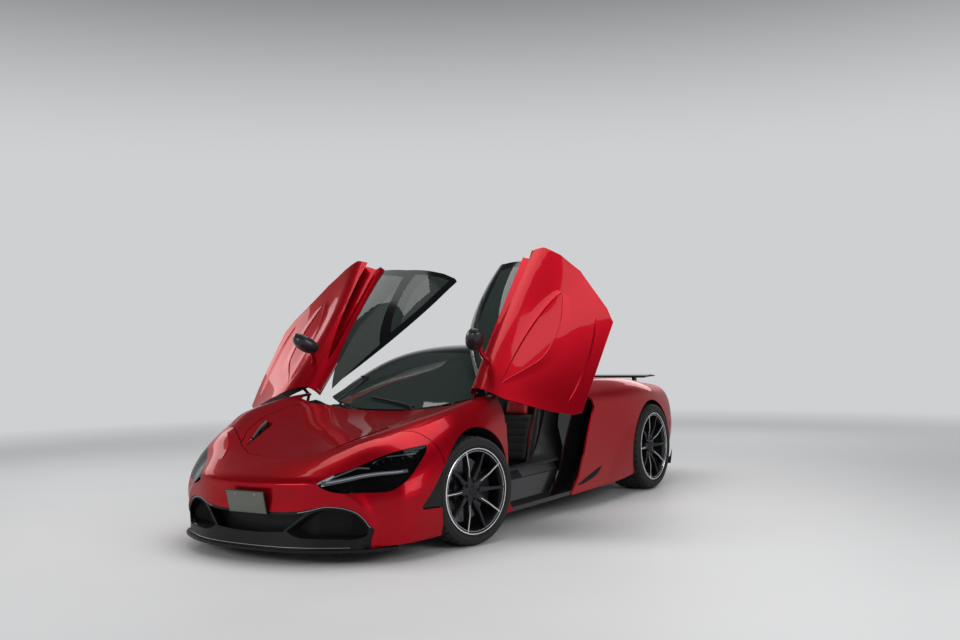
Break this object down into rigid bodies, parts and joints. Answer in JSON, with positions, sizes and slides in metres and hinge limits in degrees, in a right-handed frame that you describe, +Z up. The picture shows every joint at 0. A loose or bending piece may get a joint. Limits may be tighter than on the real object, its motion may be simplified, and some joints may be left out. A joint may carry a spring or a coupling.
{
  "type": "supercar",
  "caption": "Low two-seat mid-engined supercar with dihedral doors, standing with both doors swung up; doors, bonnet, steering and wheels move.",
  "frame": {"origin": "on the floor at the middle of the car's length and width", "axes": "+X forward, +Y to the car's left, +Z up"},
  "size_m": [4.516, 2.8458, 1.8701],
  "materials": {
    "red_paint": "clear-coated candy red",
    "black_gloss": "gloss black",
    "black_trim": "satin black",
    "carbon": "moulded carbon fibre",
    "glass": "tinted glass",
    "lamp_glass": "smoked clear cover",
    "lamp_red": "red lens",
    "dark_alloy": "dark grey alloy",
    "alloy": "cast alloy",
    "tyre": "rubber",
    "hide": "black hide",
    "steel": "titanium grey steel"
  },
  "bodies": {
    "chassis": {"arch_liners": "black_trim", "arch_vents": "black_gloss", "dashboard": "hide", "engine": "alloy", "engine_cover": "black_gloss", "exhausts": "steel", "headlamp_bowls": "black_trim", "headlamp_covers": "lamp_glass", "luggage_tub": "black_trim", "nose": "red_paint", "quarters": "red_paint", "rails": "alloy", "rear_spoiler": "black_gloss", "roof_frame": "black_gloss", "seats": "hide", "splitter": "black_gloss", "suspension": "alloy", "tail_lamps": "lamp_red", "tail_panel": "black_trim", "tub": "carbon", "undertray": "black_trim", "windscreen": "glass", "wings": "red_paint"},
    "bonnet": {"bonnet": "red_paint"},
    "door_left": {"door_frame_left": "black_gloss", "door_glass_left": "glass", "door_inner_left": "black_trim", "door_skin_left": "red_paint", "mirror_left": "black_gloss"},
    "door_right": {"door_frame_right": "black_gloss", "door_glass_right": "glass", "door_inner_right": "black_trim", "door_skin_right": "red_paint", "mirror_right": "black_gloss"},
    "front_wheel_left": {"front_tyre_left": "tyre", "front_wheel_left": "dark_alloy"},
    "front_wheel_right": {"front_tyre_right": "tyre", "front_wheel_right": "dark_alloy"},
    "knuckle_left": {"knuckle_left": "alloy"},
    "knuckle_right": {"knuckle_right": "alloy"},
    "rear_wheel_left": {"rear_tyre_left": "tyre", "rear_wheel_left": "dark_alloy"},
    "rear_wheel_right": {"rear_tyre_right": "tyre", "rear_wheel_right": "dark_alloy"},
    "steering_wheel": {"steering_wheel": "hide"}
  },
  "joints": [
    {"name": "door_left_swing", "type": "hinge", "parent": "chassis", "child": "door_left", "pos_m": [0.967, 0.787, 0.745], "axis": [-0.7414, -0.5594, 0.3707], "range_deg": [0, 79.7]},
    {"name": "door_right_swing", "type": "hinge", "parent": "chassis", "child": "door_right", "pos_m": [0.967, -0.787, 0.745], "axis": [0.7414, -0.5594, -0.3707], "range_deg": [0, 79.7]},
    {"name": "bonnet_lift", "type": "hinge", "parent": "chassis", "child": "bonnet", "pos_m": [0.975, 0, 0.79], "axis": [0, -1, 0], "range_deg": [0, 62]},
    {"name": "steer_left", "type": "hinge", "parent": "chassis", "child": "knuckle_left", "pos_m": [1.2515, 0.767, 0.327], "axis": [0, 0, 1], "range_deg": [-16, 40]},
    {"name": "steer_right", "type": "hinge", "parent": "chassis", "child": "knuckle_right", "pos_m": [1.2515, -0.767, 0.327], "axis": [0, 0, 1], "range_deg": [-16, 40]},
    {"name": "steering_wheel_turn", "type": "hinge", "parent": "chassis", "child": "steering_wheel", "pos_m": [0.4, 0.372, 0.66], "axis": [-0.9272, 0, 0.3746], "range_deg": [-208, 520]},
    {"name": "front_wheel_left_roll", "type": "hinge", "parent": "knuckle_left", "child": "front_wheel_left", "pos_m": [1.26605, 0.83547, 0.327], "axis": [0.2079, 0.9781, 0], "continuous": true},
    {"name": "front_wheel_right_roll", "type": "hinge", "parent": "knuckle_right", "child": "front_wheel_right", "pos_m": [1.23695, -0.83547, 0.327], "axis": [0.2079, 0.9781, 0], "continuous": true},
    {"name": "rear_wheel_left_roll", "type": "hinge", "parent": "chassis", "child": "rear_wheel_left", "pos_m": [-1.4185, 0.8145, 0.3455], "axis": [0, 1, 0], "continuous": true},
    {"name": "rear_wheel_right_roll", "type": "hinge", "parent": "chassis", "child": "rear_wheel_right", "pos_m": [-1.4185, -0.8145, 0.3455], "axis": [0, 1, 0], "continuous": true}
  ],
  "couplings": [
    {"joint": "steer_right", "follows": "steer_left", "ratio": 1},
    {"joint": "steering_wheel_turn", "follows": "steer_left", "ratio": 13}
  ]
}
